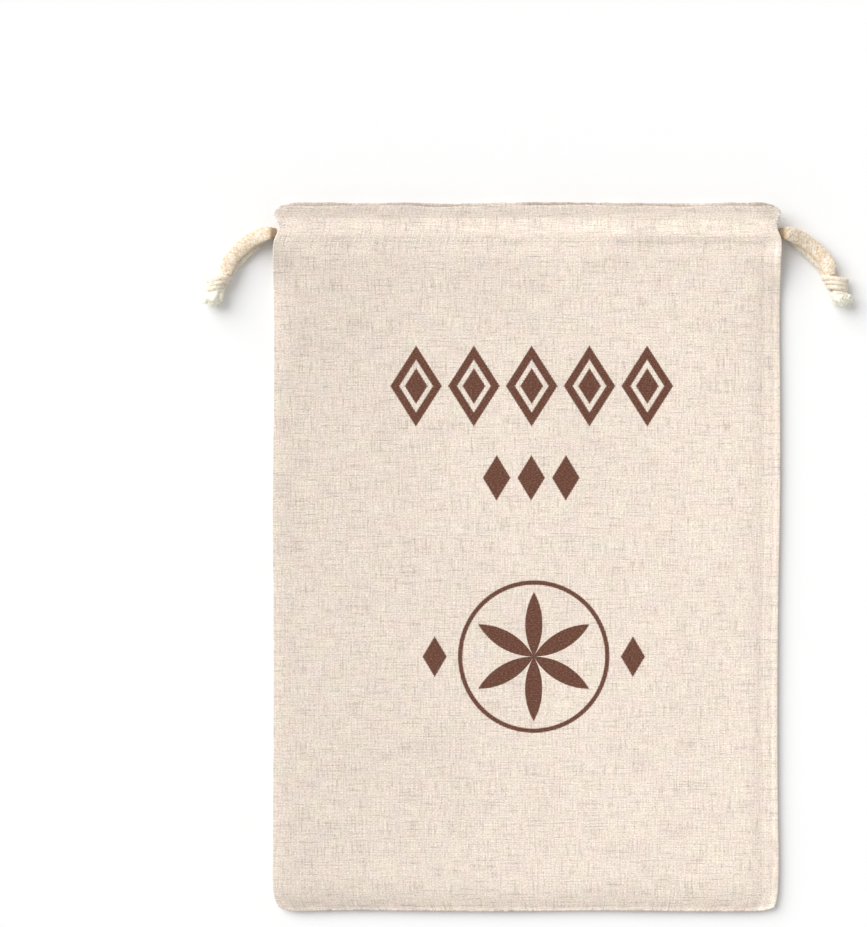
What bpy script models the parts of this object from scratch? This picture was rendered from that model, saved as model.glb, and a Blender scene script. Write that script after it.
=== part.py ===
"""A drawstring bread bag of plain woven linen, empty, lying on its back with the mouth towards +Y.

Two panels are sewn together at the sides and the bottom. Each is folded inwards at the mouth, and the
hem is stitched down to make a casing. Two strings run round through both casings, one tied at each
side, so that the bag closes when both are pulled. Metres, +Z up, the bag's middle at the origin.
"""

import math
from collections import namedtuple

import bmesh
import bpy
from mathutils import Vector

MM = 0.001

# Cloth and cord, in millimetres like every table below
CLOTH = 1.2
GAP = 0.3
CORD_WIDE = 5.6
FLAT_CORD = (5.2, 2.0)
CROSSED_CORD = 1.5

# Corners of a flat string's section, as shares of half its width and half its thickness
Corner = namedtuple("Corner", "side level")
FLAT_CORNERS = (
    Corner(1, 0.42), Corner(0.64, 1), Corner(-0.64, 1), Corner(-1, 0.42),
    Corner(-1, -0.42), Corner(-0.64, -1), Corner(0.64, -1), Corner(1, -0.42),
)

# Heights of the middle of the cloth above the surface that the bag lies on
BACK_LEVEL = CLOTH / 2
BACK_SEAM = 2.4
FRONT_SEAM = 3.9
FOLD_RADIUS = (CLOTH + GAP) / 2
FRONT_LIP_BACK = 2.2

# Soft rise of each panel from its seams: how far in it reaches, and where it fades out below the casing
FRONT_RISE = 22.0
BACK_RISE = 9.0
RISE_FULLNESS = 2.4
SEAM_END = (158.0, 196.0)

# The air under the front panel leaves it in low waves, which fade out below the casing: the height of
# each wave, how far apart its crests are across and along the bag, and where it starts
Wave = namedtuple("Wave", "height across along start")
FRONT_WAVES = (
    Wave(0.225, 295.0, -364.0, 2.47), Wave(0.225, 295.0, 364.0, 0.13), Wave(0.25, 144.0, 258.0, 0.0),
)
WAVES_END = (120.0, 180.0)

# Small puckers of the front casing
Pucker = namedtuple("Pucker", "height across start")
CASING_PUCKERS = (Pucker(0.1, 61.0, 0.8), Pucker(0.06, 33.0, 0.0))

# The two tracks of the strings in the casing, their heights, and where the strings pass each other
LOW_TRACK = 200.6
HIGH_TRACK = 206.3
FRONT_CORD = 12.8
BACK_CORD = 2.5
FRONT_CROSSING = 100.0
BACK_CROSSING = -118.0
CROSSING_SWERVE = 12.0
SWERVE_STEPS = 3
CROSSING_CLIMB = 25.0
CLIMB_STEPS = 2
CROSSING_LIFT = 1.3
LIFT_FULL = 39.0
LIFT_NONE = 60.0

# Where the strings turn or leave the casing, at the left and at the right
RUN_END = 156.7
FREE_START = 157.5
LOOP_REACH = 152.0
LOOP_RADIUS = 1.9
LOOP_STEPS = 3
CASING_END = 147.0

# Shoulder of the ridge that the strings raise: above it the casing lies flat up to its lip
SHOULDER = 211.4

Side = namedtuple("Side", "y left right")
SIDES = (
    Side(-219.0, -153.0, 152.3), Side(-216.5, -155.4, 154.0), Side(-213.0, -156.9, 154.8),
    Side(-208.0, -158.0, 155.5), Side(-200.0, -158.4, 155.8), Side(-188.0, -158.3, 156.0),
    Side(-151.0, -158.1, 155.4), Side(-89.0, -157.8, 155.2), Side(-27.0, -157.9, 155.7),
    Side(35.0, -158.3, 156.8), Side(97.0, -157.6, 156.9), Side(141.0, -157.4, 156.5),
    Side(184.0, -157.9, 156.9), Side(192.0, -157.8, 157.1), Side(196.5, -157.0, 156.8),
    Side(199.5, -155.7, 155.8), Side(202.5, -154.3, 154.6), Side(205.5, -153.7, 154.0),
    Side(208.5, -154.8, 154.8), Side(211.5, -156.6, 156.1), Side(214.0, -156.8, 156.3),
    Side(216.5, -155.2, 154.6), Side(219.0, -152.8, 152.2),
)

End = namedtuple("End", "x bottom top")
ENDS = (
    End(-154.8, -217.15, 218.3), End(-152.0, -218.85, 219.4), End(-148.0, -219.55, 220.1),
    End(-142.0, -219.65, 220.4), End(-128.0, -219.25, 220.4), End(-104.0, -218.95, 220.1),
    End(-79.0, -219.25, 220.4), End(-48.0, -219.55, 219.7), End(-17.0, -219.75, 220.5),
    End(14.0, -219.45, 220.5), End(45.0, -219.15, 220.4), End(76.0, -219.45, 220.0),
    End(107.0, -219.75, 219.8), End(138.0, -219.75, 220.4), End(145.0, -219.65, 220.5),
    End(150.0, -219.05, 220.3), End(154.2, -217.55, 219.1),
)

# Rows across each panel's middle surface, from the bottom seam up, over the lip and down the hem.
# lift is the share of the rise that a row takes where the strings lie on each other.
Row = namedtuple("Row", "y height lift")
FOOT_STEPS = (0.0, 2.0, 5.0, 10.0, 18.0, 32.0)
FRONT_BODY = (
    Row(-140.0, 8.2, 0), Row(-92.0, 8.2, 0), Row(-44.0, 8.2, 0), Row(4.0, 8.2, 0),
    Row(50.0, 8.2, 0), Row(94.0, 8.4, 0), Row(132.0, 9.2, 0), Row(158.0, 10.3, 0),
    Row(172.0, 11.1, 0), Row(184.0, 11.8, 0), Row(190.5, 12.2, 0), Row(193.6, 12.4, 0),
    Row(195.2, 12.6, 0.2), Row(196.8, 13.6, 0.8), Row(198.8, 14.5, 1), Row(202.6, 14.75, 1),
    Row(206.0, 14.75, 1), Row(208.3, 14.65, 1), Row(210.0, 14.0, 1), Row(SHOULDER, 13.3, 0.5),
)
FRONT_HEM = (
    Row(SHOULDER, 10.9, 0), Row(206.0, 10.9, 0), Row(201.0, 10.9, 0), Row(198.0, 10.9, 0),
    Row(196.2, 10.8, 0), Row(194.2, 10.65, 0),
)
BACK_BODY = (
    Row(-140.0, BACK_LEVEL, 0), Row(-60.0, BACK_LEVEL, 0), Row(20.0, BACK_LEVEL, 0),
    Row(90.0, BACK_LEVEL, 0), Row(140.0, BACK_LEVEL, 0), Row(158.0, BACK_LEVEL, 0),
    Row(172.0, BACK_LEVEL, 0), Row(184.0, BACK_LEVEL, 0), Row(196.0, BACK_LEVEL, 0),
    Row(203.0, BACK_LEVEL, 0), Row(SHOULDER, BACK_LEVEL, 0),
)
BACK_HEM = (
    Row(SHOULDER, 2.6, 0.3), Row(210.0, 3.7, 1), Row(208.3, 4.4, 1), Row(206.0, 4.5, 1),
    Row(202.6, 4.5, 1), Row(198.8, 4.3, 1), Row(197.0, 3.3, 0.9), Row(196.0, 2.2, 0),
    Row(194.2, 2.1, 0),
)

# The flat top of each casing, by its share of the way from the shoulder to the lip: outer and hem height
Flat = namedtuple("Flat", "share outer hem")
FRONT_FLAT = (Flat(0.3, 12.95, 10.88), Flat(0.65, 12.5, 10.8), Flat(1.0, 12.25, 10.75))
BACK_FLAT = (Flat(0.4, BACK_LEVEL, 2.2), Flat(1.0, BACK_LEVEL, 2.1))
FOLD_STEPS = 4

# The hems are cut back at both sides, which leaves the strings room to turn from casing to casing
HEM_CUT_BACK = 4.6

# Places across the bag, counted in from each side, and the even steps between them
SIDE_STEPS = (0.0, 1.5, 4.5, 9.0, 15.0, 24.0, 36.0)
MIDDLE_STEPS = 15
BAG_WIDE = 314.0

# The pair of free ends at each side: middle of the pair, half the distance between the two strands
# in plan, and the height of the strand that comes out of the front casing
Pair = namedtuple("Pair", "x y half_apart height")
FREE_PAIRS = {
    -1: (
        Pair(-FREE_START, LOW_TRACK, 0.0, FRONT_CORD), Pair(-161.2, 200.5, 0.1, 12.4),
        Pair(-165.2, 198.9, 0.9, 10.5), Pair(-170.4, 195.6, 2.0, 8.1),
        Pair(-176.2, 190.8, 2.45, 6.6), Pair(-180.9, 186.1, 2.4, 6.6),
        Pair(-184.3, 181.6, 1.9, 7.6), Pair(-185.9, 177.1, 0.9, 8.6),
    ),
    1: (
        Pair(FREE_START, LOW_TRACK, 0.0, FRONT_CORD), Pair(161.3, 200.4, 0.1, 12.4),
        Pair(165.5, 198.7, 0.9, 10.5), Pair(170.9, 195.3, 2.0, 8.1),
        Pair(177.1, 190.6, 2.45, 6.6), Pair(181.9, 185.7, 2.4, 6.6),
        Pair(185.6, 181.2, 1.9, 7.6), Pair(187.1, 176.7, 0.9, 8.6),
    ),
}
FLOOR_CORD = CORD_WIDE / 2 + 0.05
FREE_STEPS = 10

# Each knot, drawn tight, with the frayed ends of its strands below it
Slice = namedtuple("Slice", "y left right height band")
KNOTS = {
    -1: (
        Slice(175.6, -197.0, -183.6, 11.2, 0.3), Slice(174.6, -199.0, -182.8, 12.0, 1),
        Slice(170.9, -199.5, -184.3, 12.0, 1), Slice(167.6, -199.6, -186.4, 11.6, 1),
        Slice(164.6, -199.6, -187.7, 10.6, 1), Slice(163.2, -199.4, -188.6, 10.4, 0.3),
        Slice(161.6, -201.2, -188.4, 11.2, 0), Slice(158.8, -201.5, -189.2, 11.4, 0),
        Slice(156.2, -200.4, -191.2, 9.6, 0), Slice(154.6, -198.0, -193.8, 6.0, 0),
    ),
    1: (
        Slice(175.2, 183.6, 197.6, 11.2, 0.3), Slice(174.2, 182.5, 199.1, 12.0, 1),
        Slice(170.4, 183.6, 199.3, 12.0, 1), Slice(167.2, 185.3, 199.3, 11.6, 1),
        Slice(164.2, 187.0, 199.2, 10.6, 1), Slice(162.8, 188.6, 199.4, 10.4, 0.3),
        Slice(160.9, 188.7, 202.2, 11.2, 0), Slice(158.6, 189.3, 202.8, 11.4, 0),
        Slice(156.1, 190.8, 200.8, 9.6, 0), Slice(154.4, 193.8, 197.8, 6.0, 0),
    ),
}
KNOT_STEP = 1.0
KNOT_SIDES = 18
BAND_PITCH = 4.1
BAND_DEPTH = 0.12
KNOT_CLEAR = 0.2


def soft_step(value):
    """0 to 1 with level ends, held at 0 and 1 outside them."""
    value = min(1.0, max(0.0, value))
    return value * value * (3.0 - 2.0 * value)


def read_table(table, at, name):
    """Reads a column at a place between rows, on a smooth curve through them."""
    places = [row[0] for row in table]
    values = [getattr(row, name) for row in table]
    at = min(max(at, min(places)), max(places))
    last = len(places) - 1
    here = max(i for i in range(last) if (at - places[i]) * (places[-1] - places[0]) >= 0)

    def slope(i):
        before, after = max(i - 1, 0), min(i + 1, last)
        return (values[after] - values[before]) / (places[after] - places[before])

    step = places[here + 1] - places[here]
    t = (at - places[here]) / step
    return (
        values[here] * (1 + 2 * t) * (1 - t) ** 2
        + values[here + 1] * t * t * (3 - 2 * t)
        + slope(here) * step * t * (1 - t) ** 2
        - slope(here + 1) * step * t * t * (1 - t)
    )


def crossing_share(x, crossing):
    """1 where the casing rides over the crossed strings, 0 well away from them."""
    return soft_step((LIFT_NONE - abs(x - crossing)) / (LIFT_NONE - LIFT_FULL))


def seam_pull(y):
    """1 along the sewn sides, 0 where the side seams have ended below the casing."""
    return 1.0 - soft_step((y - SEAM_END[0]) / (SEAM_END[1] - SEAM_END[0]))


def rise_from_edge(distance, reach):
    """Rounded rise from a seam, 0 on it and 1 from the given reach inwards."""
    left = 1.0 - min(1.0, max(0.0, distance / reach))
    return 1.0 - left ** RISE_FULLNESS


def front_unevenness(x, y):
    """Height of the front panel's waves at a place."""
    fade = 1.0 - soft_step((y - WAVES_END[0]) / (WAVES_END[1] - WAVES_END[0]))
    turn = 2 * math.pi
    return fade * sum(wave.height * math.sin(turn * (x / wave.across + y / wave.along) + wave.start)
                      for wave in FRONT_WAVES)


def casing_unevenness(x):
    """Height of the casing's puckers, which never sink towards the strings."""
    return sum(pucker.height * (1.0 + math.sin(2 * math.pi * x / pucker.across + pucker.start))
               for pucker in CASING_PUCKERS)


def lip_fold(centre_y, centre_z, up):
    """Points round the fold at the lip, from the outer layer to the hem."""
    points = []
    for step in range(1, FOLD_STEPS):
        angle = math.pi * step / FOLD_STEPS
        points.append((centre_y + FOLD_RADIUS * math.sin(angle),
                       centre_z + up * FOLD_RADIUS * math.cos(angle)))
    return points


def shares_across():
    """Shares of the way from the left side to the right one, closer together near the sides."""
    near = [step / BAG_WIDE for step in SIDE_STEPS]
    first, last = near[-1], 1.0 - near[-1]
    middle = [first + (last - first) * i / MIDDLE_STEPS for i in range(1, MIDDLE_STEPS)]
    return near + middle + [1.0 - share for share in reversed(near)]


def panel_column(share, is_front):
    """Middle of one panel's cloth at one place across the bag, bottom seam first."""
    nominal = ENDS[0].x + share * (ENDS[-1].x - ENDS[0].x)
    bottom = read_table(ENDS, nominal, "bottom")
    lip = read_table(ENDS, nominal, "top") - (FRONT_LIP_BACK if is_front else 0.0)
    body, hem = (FRONT_BODY, FRONT_HEM) if is_front else (BACK_BODY, BACK_HEM)
    flat = FRONT_FLAT if is_front else BACK_FLAT
    crossing = FRONT_CROSSING if is_front else BACK_CROSSING
    up = 1.0 if is_front else -1.0
    lift = CROSSING_LIFT * crossing_share(nominal, crossing)
    turn = lip - FOLD_RADIUS - CLOTH / 2

    def flat_y(row):
        return SHOULDER + row.share * (turn - SHOULDER)

    def ridge(row):
        pucker = casing_unevenness(nominal) if is_front and row.lift else 0.0
        return row.height + row.lift * (lift + pucker)

    path = [(bottom + step, body[0].height, 0.0) for step in FOOT_STEPS]
    path += [(row.y, ridge(row), 0.0) for row in body]
    path += [(flat_y(row), row.outer, 0.0) for row in flat]
    path += [(y, z, 0.0) for y, z in lip_fold(turn, (flat[-1].outer + flat[-1].hem) / 2, up)]
    path += [(flat_y(row), row.hem, HEM_CUT_BACK * (1.0 - row.share)) for row in reversed(flat)]
    path += [(row.y, row.height + row.lift * lift, HEM_CUT_BACK) for row in hem]
    place = front_point if is_front else back_point
    return [place(share, y, z, cut_back, bottom) for y, z, cut_back in path]


def across(share, y, cut_back):
    """Sideways place of a share of the width, and its distance from the nearer side."""
    left = read_table(SIDES, y, "left") + cut_back
    right = read_table(SIDES, y, "right") - cut_back
    x = left + share * (right - left)
    return x, min(x - left, right - x)


def front_point(share, y, z, cut_back, bottom):
    x, from_side = across(share, y, cut_back)
    rise = rise_from_edge(from_side, FRONT_RISE) * rise_from_edge(y - bottom, FRONT_RISE)
    z += rise * front_unevenness(x, y)
    z -= seam_pull(y) * (1.0 - rise) * (z - FRONT_SEAM)
    return Vector((x, y, z)) * MM


def back_point(share, y, z, cut_back, bottom):
    x, from_side = across(share, y, cut_back)
    rise = rise_from_edge(from_side, BACK_RISE) * rise_from_edge(y - bottom, BACK_RISE)
    z += seam_pull(y) * (1.0 - rise) * (BACK_SEAM - z)
    return Vector((x, y, z)) * MM


def material(name, colour, roughness):
    finish = bpy.data.materials.new(name)
    finish.use_nodes = True
    shader = finish.node_tree.nodes["Principled BSDF"]
    shader.inputs["Base Color"].default_value = (*colour, 1.0)
    shader.inputs["Roughness"].default_value = roughness
    shader.inputs["Metallic"].default_value = 0.0
    return finish


def mesh_object(name, shape, finish):
    """Turns a bmesh into an object of the scene, shaded smooth."""
    mesh = bpy.data.meshes.new(name)
    shape.to_mesh(mesh)
    shape.free()
    mesh.shade_smooth()
    mesh.materials.append(finish)
    piece = bpy.data.objects.new(name, mesh)
    bpy.context.scene.collection.objects.link(piece)
    return piece


def join_columns(shape, columns, closed):
    """Faces between neighbouring columns of points, which close up on themselves if asked."""
    rows = [[shape.verts.new(point) for point in column] for column in columns]
    count = len(rows[0])
    for one, other in zip(rows, rows[1:]):
        for i in range(count if closed else count - 1):
            j = (i + 1) % count
            shape.faces.new((one[i], other[i], other[j], one[j]))
    return rows


def panel(name, is_front, finish):
    """One panel as a sheet: its middle surface, given the cloth's thickness."""
    shape = bmesh.new()
    join_columns(shape, [panel_column(share, is_front) for share in shares_across()], closed=False)
    piece = mesh_object(name, shape, finish)
    cloth = piece.modifiers.new("Cloth thickness", "SOLIDIFY")
    cloth.thickness = CLOTH * MM
    cloth.offset = 0.0
    cloth.use_rim = True
    return piece


def loft(name, rings, finish):
    """A closed solid through rings of points, with a face on each end."""
    shape = bmesh.new()
    rows = join_columns(shape, rings, closed=True)
    shape.faces.new(rows[0])
    shape.faces.new(rows[-1])
    bmesh.ops.recalc_face_normals(shape, faces=shape.faces)
    return mesh_object(name, shape, finish)


def flat_cord_ring(centre, forward, thick):
    """Section of a string pressed flat in its casing, its wide way along Y."""
    up = forward.cross(Vector((0, 1, 0))).normalized()
    across = up.cross(forward).normalized()
    return [(centre + across * corner.side * FLAT_CORD[0] / 2 + up * corner.level * thick / 2) * MM
            for corner in FLAT_CORNERS]


def run_places(crossing):
    """Places along the casing at which a string's run is set out, the left end first."""
    swerve = [crossing + CROSSING_SWERVE * k / SWERVE_STEPS for k in range(-SWERVE_STEPS, SWERVE_STEPS + 1)]
    climb_step = (CROSSING_CLIMB - CROSSING_SWERVE) / CLIMB_STEPS
    climb = [crossing + side * (CROSSING_SWERVE + climb_step * k)
             for side in (-1, 1) for k in range(1, CLIMB_STEPS + 1)]
    return sorted([-CASING_END, CASING_END, 0.0] + swerve + climb)


def run_point(x, tie, crossing, level, over):
    """Middle and thickness of a string's run at a place in the casing.

    Each string leaves the casing on the low track at its own side and turns on the high one at the
    other side, so the two pass each other once in each casing: over says which lies on the other.
    """
    swerve = soft_step((x - crossing + CROSSING_SWERVE) / (2 * CROSSING_SWERVE))
    to_high = swerve if tie < 0 else 1.0 - swerve
    y = LOW_TRACK + (HIGH_TRACK - LOW_TRACK) * to_high
    near = soft_step((CROSSING_CLIMB - abs(x - crossing)) / (CROSSING_CLIMB - CROSSING_SWERVE))
    thick = FLAT_CORD[1] + (CROSSED_CORD - FLAT_CORD[1]) * near
    slack = (FLAT_CORD[1] - CROSSED_CORD) / 2
    z = level + near * ((CROSSED_CORD + GAP - slack) if over else -slack)
    return Vector((x, y, z)), thick


def loop_points(tie):
    """The string's turn round the ends of both casings, from the front one to the back one."""
    points = []
    for level, first, last in ((FRONT_CORD, 90, 0), (BACK_CORD, 0, -90)):
        centre = level - LOOP_RADIUS if first else level + LOOP_RADIUS
        for step in range(LOOP_STEPS + 1):
            angle = math.radians(first + (last - first) * step / LOOP_STEPS)
            points.append(Vector((-tie * (LOOP_REACH - LOOP_RADIUS + LOOP_RADIUS * math.cos(angle)),
                                  HIGH_TRACK, centre + LOOP_RADIUS * math.sin(angle))))
    return points


def string_run(name, tie, finish):
    """A string's hidden run: through the front casing, round the far end and back."""
    end = Vector((tie * RUN_END, LOW_TRACK, 0))
    front = [run_point(x, tie, FRONT_CROSSING, FRONT_CORD, tie < 0) for x in run_places(FRONT_CROSSING)]
    back = [run_point(x, tie, BACK_CROSSING, BACK_CORD, tie > 0) for x in run_places(BACK_CROSSING)]
    if tie > 0:
        front.reverse()
        back.reverse()
    back.reverse()
    turn = [(point, FLAT_CORD[1]) for point in loop_points(tie)]
    path = [(end + Vector((0, 0, FRONT_CORD)), FLAT_CORD[1])] + front + turn + back
    path.append((end + Vector((0, 0, BACK_CORD)), FLAT_CORD[1]))
    rings = []
    for i, (point, thick) in enumerate(path):
        before = path[max(i - 1, 0)][0]
        after = path[min(i + 1, len(path) - 1)][0]
        forward = after - before
        if i in (0, len(path) - 1):
            forward = Vector((forward.x, 0, 0))
        rings.append(flat_cord_ring(point, forward.normalized(), thick))
    return loft(name, rings, finish)


def free_route(tie, from_front):
    """Middle of one free strand, from the casing's end to the knot.

    The strand from the back casing lies on the surface, and the one from the front casing comes down
    on it and lies half over its outer side.
    """
    pairs = FREE_PAIRS[tie]
    route = []
    for i, pair in enumerate(pairs):
        before = pairs[max(i - 1, 0)]
        after = pairs[min(i + 1, len(pairs) - 1)]
        along = Vector((after.x - before.x, after.y - before.y, 0)).normalized()
        outer_side = Vector((-along.y, along.x, 0)) * tie
        if from_front:
            place = Vector((pair.x, pair.y, pair.height)) + outer_side * pair.half_apart
        else:
            place = Vector((pair.x, pair.y, FLOOR_CORD)) - outer_side * pair.half_apart
        route.append(place)
    return route


def smooth_route(route, steps):
    """Evenly spread points on a smooth curve through the route's own points."""
    Stop = namedtuple("Stop", "at x y z")
    far = [0.0]
    for one, other in zip(route, route[1:]):
        far.append(far[-1] + (other - one).length)
    stops = [Stop(at, *point) for at, point in zip(far, route)]
    places = [far[-1] * i / steps for i in range(steps + 1)]
    return [Vector([read_table(stops, at, axis) for axis in "xyz"]) for at in places]


def free_end(name, tie, from_front, finish):
    """A free strand as a round tube on the surface."""
    points = smooth_route(free_route(tie, from_front), FREE_STEPS)
    curve = bpy.data.curves.new(name, "CURVE")
    curve.dimensions = "3D"
    curve.bevel_depth = CORD_WIDE / 2 * MM
    curve.bevel_resolution = 2
    curve.use_fill_caps = True
    line = curve.splines.new("POLY")
    line.points.add(len(points) - 1)
    for place, point in zip(line.points, points):
        place.co = (*(point * MM), 1.0)
    curve.materials.append(finish)
    piece = bpy.data.objects.new(name, curve)
    bpy.context.scene.collection.objects.link(piece)
    return piece


def knot_ring(slices, y, tie):
    """Section of a knot, pinched along the slanting lines between its turns of cord."""
    left = read_table(slices, y, "left")
    right = read_table(slices, y, "right")
    height = read_table(slices, y, "height")
    band = min(1.0, max(0.0, read_table(slices, y, "band")))
    ring = []
    for i in range(KNOT_SIDES):
        angle = 2 * math.pi * i / KNOT_SIDES
        turn = y / BAND_PITCH + tie * angle / (2 * math.pi)
        pinch = 1.0 - band * BAND_DEPTH * (0.5 + 0.5 * math.cos(2 * math.pi * turn)) ** 2
        x = (left + right) / 2 + (right - left) / 2 * pinch * math.cos(angle)
        z = height / 2 * (1.0 + pinch * math.sin(angle))
        ring.append(Vector((x, y, max(z, KNOT_CLEAR))) * MM)
    return ring


def knot(name, tie, finish):
    slices = KNOTS[tie]
    long = slices[0].y - slices[-1].y
    count = round(long / KNOT_STEP)
    rings = [knot_ring(slices, slices[0].y - long * i / count, tie) for i in range(count + 1)]
    return loft(name, rings, finish)


def main():
    for old in list(bpy.data.objects):
        bpy.data.objects.remove(old, do_unlink=True)

    linen = material("Unbleached linen", (0.86, 0.76, 0.65), 0.9)
    cotton = material("Cotton cord", (0.83, 0.69, 0.50), 0.85)

    panel("front_panel", True, linen)
    panel("back_panel", False, linen)
    for tie, side in ((-1, "left"), (1, "right")):
        string_run(f"string_run_{side}", tie, cotton)
        free_end(f"string_end_{side}_front", tie, True, cotton)
        free_end(f"string_end_{side}_back", tie, False, cotton)
        knot(f"knot_{side}", tie, cotton)


main()
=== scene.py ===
"""A drawstring bread bag of plain woven linen, laid flat on a pale floor and seen from straight above.

Two panels are sewn together at the sides and the bottom, and each is folded in at the mouth as a
casing. Two braided cotton strings run round through the casings and are knotted in pairs, one pair
at each side. Metres, +Z up, the mouth towards +Y.
"""

import math
import random
from collections import namedtuple

import bpy
import numpy as np
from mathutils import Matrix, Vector, noise
from mathutils.bvhtree import BVHTree


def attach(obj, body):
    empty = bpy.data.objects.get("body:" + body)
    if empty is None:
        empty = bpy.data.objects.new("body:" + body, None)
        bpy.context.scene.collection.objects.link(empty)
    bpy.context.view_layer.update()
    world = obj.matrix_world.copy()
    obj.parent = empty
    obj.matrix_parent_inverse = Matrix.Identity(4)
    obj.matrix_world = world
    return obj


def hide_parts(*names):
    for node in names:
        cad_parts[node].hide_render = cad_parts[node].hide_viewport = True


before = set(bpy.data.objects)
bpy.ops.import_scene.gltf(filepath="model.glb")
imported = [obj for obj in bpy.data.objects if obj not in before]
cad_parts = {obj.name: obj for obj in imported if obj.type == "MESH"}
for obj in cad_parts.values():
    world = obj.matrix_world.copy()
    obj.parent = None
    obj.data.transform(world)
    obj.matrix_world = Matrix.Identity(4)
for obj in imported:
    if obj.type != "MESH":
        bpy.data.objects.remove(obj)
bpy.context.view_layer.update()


# Front panel. Unbleached linen, plain woven, cut 314 by 465 mm with the hem. It is sewn to the back
# panel along the sides and the bottom, and its top is folded in and stitched down as a casing.

CLOTH = 0.0011
FOLD_RADIUS = 0.00075
SEAM_ROLL = 0.00045
SEAM_TURNS = tuple(math.radians(105) * k / 4 for k in (4, 3, 2, 1))
FRONT_SEAM = 0.00385
FRONT_RISE = 0.022
RISE_FULLNESS = 2.4
SEAM_END = (0.158, 0.196)
FRONT_LIP_BACK = 0.0025
SHOULDER = 0.2114
HEM_CUT_BACK = 0.0046
FRONT_CROSSING = 0.100
CROSSING_LIFT = 0.0013
LIFT_FULL = 0.039
LIFT_NONE = 0.060
STITCH_LINE = 0.1952

Side = namedtuple("Side", "y left right")
SIDES = (
    Side(-0.2190, -0.1530, 0.1523), Side(-0.2165, -0.1554, 0.1540), Side(-0.2130, -0.1569, 0.1548),
    Side(-0.2080, -0.1580, 0.1555), Side(-0.2000, -0.1584, 0.1558), Side(-0.1880, -0.1583, 0.1560),
    Side(-0.1510, -0.1581, 0.1554), Side(-0.0890, -0.1578, 0.1552), Side(-0.0270, -0.1579, 0.1557),
    Side(0.0350, -0.1583, 0.1568), Side(0.0970, -0.1576, 0.1569), Side(0.1410, -0.1574, 0.1565),
    Side(0.1840, -0.1579, 0.1569), Side(0.1920, -0.1578, 0.1571), Side(0.1965, -0.1570, 0.1568),
    Side(0.1995, -0.1557, 0.1558), Side(0.2025, -0.1543, 0.1546), Side(0.2055, -0.1537, 0.1540),
    Side(0.2085, -0.1548, 0.1548), Side(0.2115, -0.1566, 0.1561), Side(0.2140, -0.1568, 0.1563),
    Side(0.2165, -0.1552, 0.1546), Side(0.2190, -0.1528, 0.1522),
)

End = namedtuple("End", "x bottom top")
ENDS = (
    End(-0.1548, -0.21715, 0.2183), End(-0.1520, -0.21885, 0.2194), End(-0.1480, -0.21955, 0.2201),
    End(-0.1420, -0.21965, 0.2204), End(-0.1280, -0.21925, 0.2204), End(-0.1040, -0.21895, 0.2201),
    End(-0.0790, -0.21925, 0.2204), End(-0.0480, -0.21955, 0.2197), End(-0.0170, -0.21975, 0.2205),
    End(0.0140, -0.21945, 0.2205), End(0.0450, -0.21915, 0.2204), End(0.0760, -0.21945, 0.2200),
    End(0.1070, -0.21975, 0.2198), End(0.1380, -0.21975, 0.2204), End(0.1450, -0.21965, 0.2205),
    End(0.1500, -0.21905, 0.2203), End(0.1542, -0.21755, 0.2191),
)

# Rows of the cloth's middle from the bottom seam up, over the lip and down the hem. lift is the share
# of the rise that a row takes where the strings cross, and pucker its share of the casing's puckers.
Row = namedtuple("Row", "y height lift pucker")
FOOT_STEPS = (0.0, 0.002, 0.005, 0.010, 0.018, 0.032)
FRONT_BODY = (
    Row(-0.140, 0.0082, 0, 0), Row(-0.092, 0.0082, 0, 0), Row(-0.044, 0.0082, 0, 0),
    Row(0.004, 0.0082, 0, 0), Row(0.050, 0.0082, 0, 0), Row(0.094, 0.0084, 0, 0),
    Row(0.132, 0.0092, 0, 0), Row(0.158, 0.0103, 0, 0), Row(0.172, 0.0111, 0, 0.1),
    Row(0.184, 0.0120, 0, 0.3), Row(0.1905, 0.0127, 0.1, 0.7), Row(0.1936, 0.0132, 0.3, 1),
    Row(STITCH_LINE, 0.0135, 0.5, 1), Row(0.1968, 0.0139, 0.8, 1), Row(0.1990, 0.0144, 1, 1),
    Row(0.2026, 0.01475, 1, 1), Row(0.2060, 0.01475, 1, 1), Row(0.2083, 0.01465, 1, 1),
    Row(0.2100, 0.0141, 1, 1), Row(SHOULDER, 0.0136, 0.6, 1),
)
FRONT_HEM = (
    Row(SHOULDER, 0.0109, 0, 0), Row(0.2060, 0.0109, 0, 0), Row(0.2010, 0.0109, 0, 0),
    Row(0.1980, 0.0109, 0, 0), Row(0.1962, 0.0110, 0, 0), Row(0.1942, 0.0108, 0, 0),
)
Flat = namedtuple("Flat", "share outer hem")
FRONT_FLAT = (Flat(0.3, 0.0132, 0.01088), Flat(0.65, 0.0128, 0.0108), Flat(1.0, 0.01235, 0.01075))
FOLD_STEPS = 6

# The slack panel lies in low waves over the air under it
Wave = namedtuple("Wave", "height across along start")
FRONT_WAVES = (
    Wave(0.000225, 0.295, -0.364, 2.47), Wave(0.000225, 0.295, 0.364, 0.13),
    Wave(0.00025, 0.144, 0.258, 0.0),
)
WAVES_END = (0.120, 0.180)

BAG_WIDE = 0.314
SIDE_STEPS = tuple(0.001 * far for far in (0, 0.5, 1.2, 2.2, 3.5, 5, 7, 9.5, 12, 15, 18, 21, 24, 28))
MIDDLE_STEPS = 144
FINE_FROM = 0.185
RIDGE_AT = 0.2045
STITCH_AT = 0.1945
LIP_AT = 0.2205
ROW_STEP = 0.0022
CASING_STEP = 0.0008


def soft_step(value):
    value = np.clip(value, 0.0, 1.0)
    return value * value * (3.0 - 2.0 * value)


def read_table(table, at, name):
    """Reads a column of a table at places between its rows, on a smooth curve through them."""
    places = np.array([row[0] for row in table])
    values = np.array([getattr(row, name) for row in table], dtype=float)
    return smooth_curve(places, values, at)


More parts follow.
